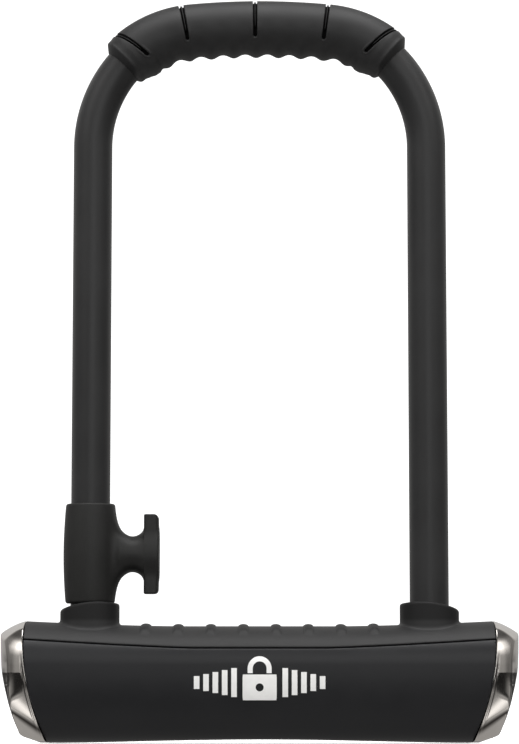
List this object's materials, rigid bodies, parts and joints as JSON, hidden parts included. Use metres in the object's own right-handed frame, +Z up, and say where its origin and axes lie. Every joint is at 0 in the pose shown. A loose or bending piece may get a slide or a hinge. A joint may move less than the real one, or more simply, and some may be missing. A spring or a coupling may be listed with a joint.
{
  "type": "u lock",
  "caption": "U-shaped shackle bicycle lock: coated steel bow with rubber handle, locking crossbar with polished end caps and bottom keyway, and a swivelling carrying-bracket collar on one leg.",
  "frame": {"origin": "midway between the two legs, on the flat plane under the end caps", "axes": "+X along the crossbar towards the leg without the bracket, +Y to the back, +Z up along the legs"},
  "size_m": [0.198, 0.04, 0.2887],
  "materials": {
    "steel": "bare hardened steel, fine drawn grain",
    "vinyl_coat": "satin black vinyl coating",
    "grip_rubber": "matte moulded rubber",
    "cap_nickel": "polished warm gunmetal plating",
    "fastener_steel": "black-zinc screws and pins",
    "cover_rubber": "matte soft-touch rubber",
    "cover_plastic": "satin moulded plastic",
    "bush_plastic": "natural acetal",
    "seal_rubber": "nitrile rubber",
    "guide_zinc": "zinc die casting",
    "lock_brass": "turned brass",
    "hard_steel": "hardened steel",
    "bolt_steel": "ground steel plate",
    "liner_plastic": "satin plastic sleeve",
    "bracket_plastic": "glass-filled black plastic, fine texture"
  },
  "bodies": {
    "crossbar": {"crossbar_tube": "steel", "left_end_plug": "steel", "right_end_plug": "steel", "left_end_cap": "cap_nickel", "right_end_cap": "cap_nickel", "cap_screws": "fastener_steel", "top_cover": "cover_rubber", "lower_cover": "cover_plastic", "cover_screws": "fastener_steel", "left_bushing": "bush_plastic", "right_bushing": "bush_plastic", "foot_seals": "seal_rubber", "left_foot_guide": "guide_zinc", "right_foot_guide": "guide_zinc", "cylinder_housing": "lock_brass", "housing_pins": "fastener_steel"},
    "shackle": {"shackle_bar": "steel", "shackle_coating": "vinyl_coat", "handle_grip": "grip_rubber"},
    "lock_cylinder": {"cylinder_plug": "lock_brass", "anti_drill_disc": "hard_steel", "code_discs": "hard_steel", "disc_spacers": "lock_brass", "sidebar": "hard_steel", "retaining_clip": "fastener_steel", "cam": "hard_steel"},
    "left_bolt": {"left_bolt": "bolt_steel"},
    "right_bolt": {"right_bolt": "bolt_steel"},
    "shutter": {"dust_shutter": "cover_plastic"},
    "bracket_sleeve": {"bracket_liner": "liner_plastic"},
    "bracket": {"bracket_collar": "bracket_plastic", "collar_screw": "fastener_steel"}
  },
  "joints": [
    {"name": "shackle_lift", "type": "slide", "parent": "crossbar", "child": "shackle", "axis": [0, 0, 1], "range_m": [0, 0.06]},
    {"name": "cylinder_turn", "type": "hinge", "parent": "crossbar", "child": "lock_cylinder", "pos_m": [0, 0, 0], "axis": [0, 0, 1], "range_deg": [0, 90]},
    {"name": "left_bolt_slide", "type": "slide", "parent": "crossbar", "child": "left_bolt", "axis": [-1, 0, 0], "range_m": [0, 0.0056]},
    {"name": "right_bolt_slide", "type": "slide", "parent": "crossbar", "child": "right_bolt", "axis": [1, 0, 0], "range_m": [0, 0.0056]},
    {"name": "shutter_slide", "type": "slide", "parent": "crossbar", "child": "shutter", "axis": [1, 0, 0], "range_m": [0, 0.013]},
    {"name": "bracket_slide", "type": "slide", "parent": "shackle", "child": "bracket_sleeve", "axis": [0, 0, 1], "range_m": [0, 0.13]},
    {"name": "bracket_turn", "type": "hinge", "parent": "bracket_sleeve", "child": "bracket", "pos_m": [-0.065, 0, 0.0719], "axis": [0, 0, 1], "continuous": true}
  ],
  "couplings": [
    {"joint": "cylinder_turn", "follows": "left_bolt_slide", "rad_per_m": 280.49},
    {"joint": "right_bolt_slide", "follows": "left_bolt_slide", "ratio": 1}
  ]
}
